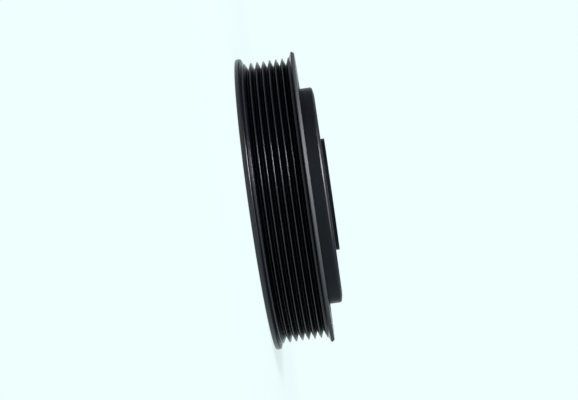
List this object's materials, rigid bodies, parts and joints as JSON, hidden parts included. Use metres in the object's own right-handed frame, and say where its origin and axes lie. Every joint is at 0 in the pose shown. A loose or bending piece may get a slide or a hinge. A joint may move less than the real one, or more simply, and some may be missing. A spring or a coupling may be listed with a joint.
{
  "type": "crankshaft pulley",
  "caption": "Crankshaft pulley: V-ribbed belt track between flanges on a rubber-damped ring, with a pot-shaped hub and a bolted seat.",
  "frame": {"origin": "centre of the front face of the belt ring, on the axis, where the pulley stands on a flat surface", "axes": "+Z along the axis towards the crankshaft; +X towards one of the bolt holes"},
  "size_m": [0.1664, 0.1664, 0.0432],
  "materials": {
    "belt_ring": "satin",
    "damper_rubber": "matte",
    "hub_shell": "satin",
    "hub_core": "satin"
  },
  "bodies": {
    "root": {"belt_ring": "belt_ring", "damper_rubber": "damper_rubber", "hub_shell": "hub_shell", "hub_core": "hub_core"}
  },
  "joints": []
}
